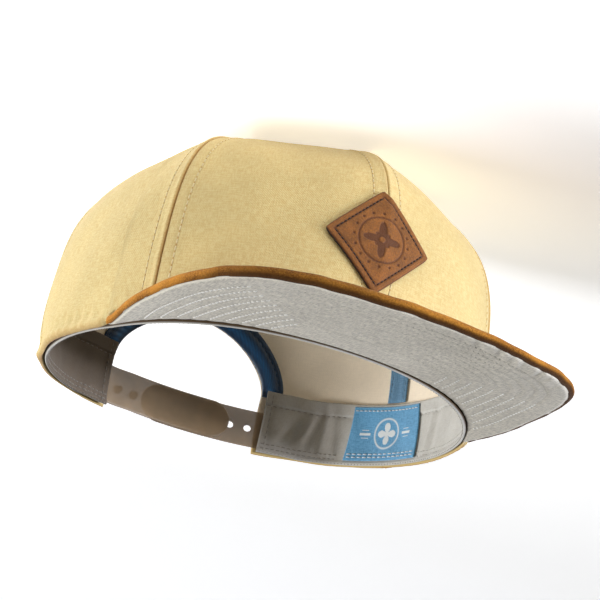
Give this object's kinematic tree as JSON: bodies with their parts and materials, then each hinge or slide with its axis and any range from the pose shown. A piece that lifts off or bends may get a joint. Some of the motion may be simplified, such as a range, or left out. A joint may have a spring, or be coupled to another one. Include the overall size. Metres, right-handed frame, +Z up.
{
  "type": "snapback cap",
  "caption": "Panelled snapback cap lying upside down, with a flat suede-faced bill, a leather patch on the front, and an arched opening with a snap strap at the back.",
  "frame": {"origin": "centre of the cap's box on the surface that it rests on, under its crown", "axes": "-Y towards the tip of the bill, +Z up out of the head hollow, +X to the wearer's right as the cap lies upside down on its crown"},
  "size_m": [0.1856, 0.2646, 0.1172],
  "materials": {
    "crown_cloth": "cream yellow brushed cotton twill, with dashed topstitching beside each seam",
    "bill_suede": "tan suede cloth over a light stiff board, with a rolled edge",
    "underbill_cloth": "grey plain weave with rows of white stitching along the outline",
    "band_cloth": "light grey twill with stitched edges",
    "tape_cloth": "blue cotton tape with stitched edges",
    "label_cloth": "blue satin weave, sewn down along its ends",
    "patch_leather": "brown grained leather with a stitched border and a pressed plain motif",
    "strap_plastic": "translucent brown plastic, slightly cloudy"
  },
  "bodies": {
    "root": {"front_panel_left": "crown_cloth", "front_panel_right": "crown_cloth", "side_panel_left": "crown_cloth", "side_panel_right": "crown_cloth", "back_panel_left": "crown_cloth", "back_panel_right": "crown_cloth", "crown_button": "crown_cloth", "peak": "bill_suede", "underbill": "underbill_cloth", "sweatband": "band_cloth", "seam_tape_front": "tape_cloth", "seam_tape_front_left": "tape_cloth", "seam_tape_front_right": "tape_cloth", "seam_tape_back_left": "tape_cloth", "seam_tape_back_right": "tape_cloth", "seam_tape_back": "tape_cloth", "arch_binding": "tape_cloth", "woven_label": "label_cloth", "leather_patch": "patch_leather", "strap_with_pegs": "strap_plastic", "strap_with_holes": "strap_plastic"}
  },
  "joints": []
}
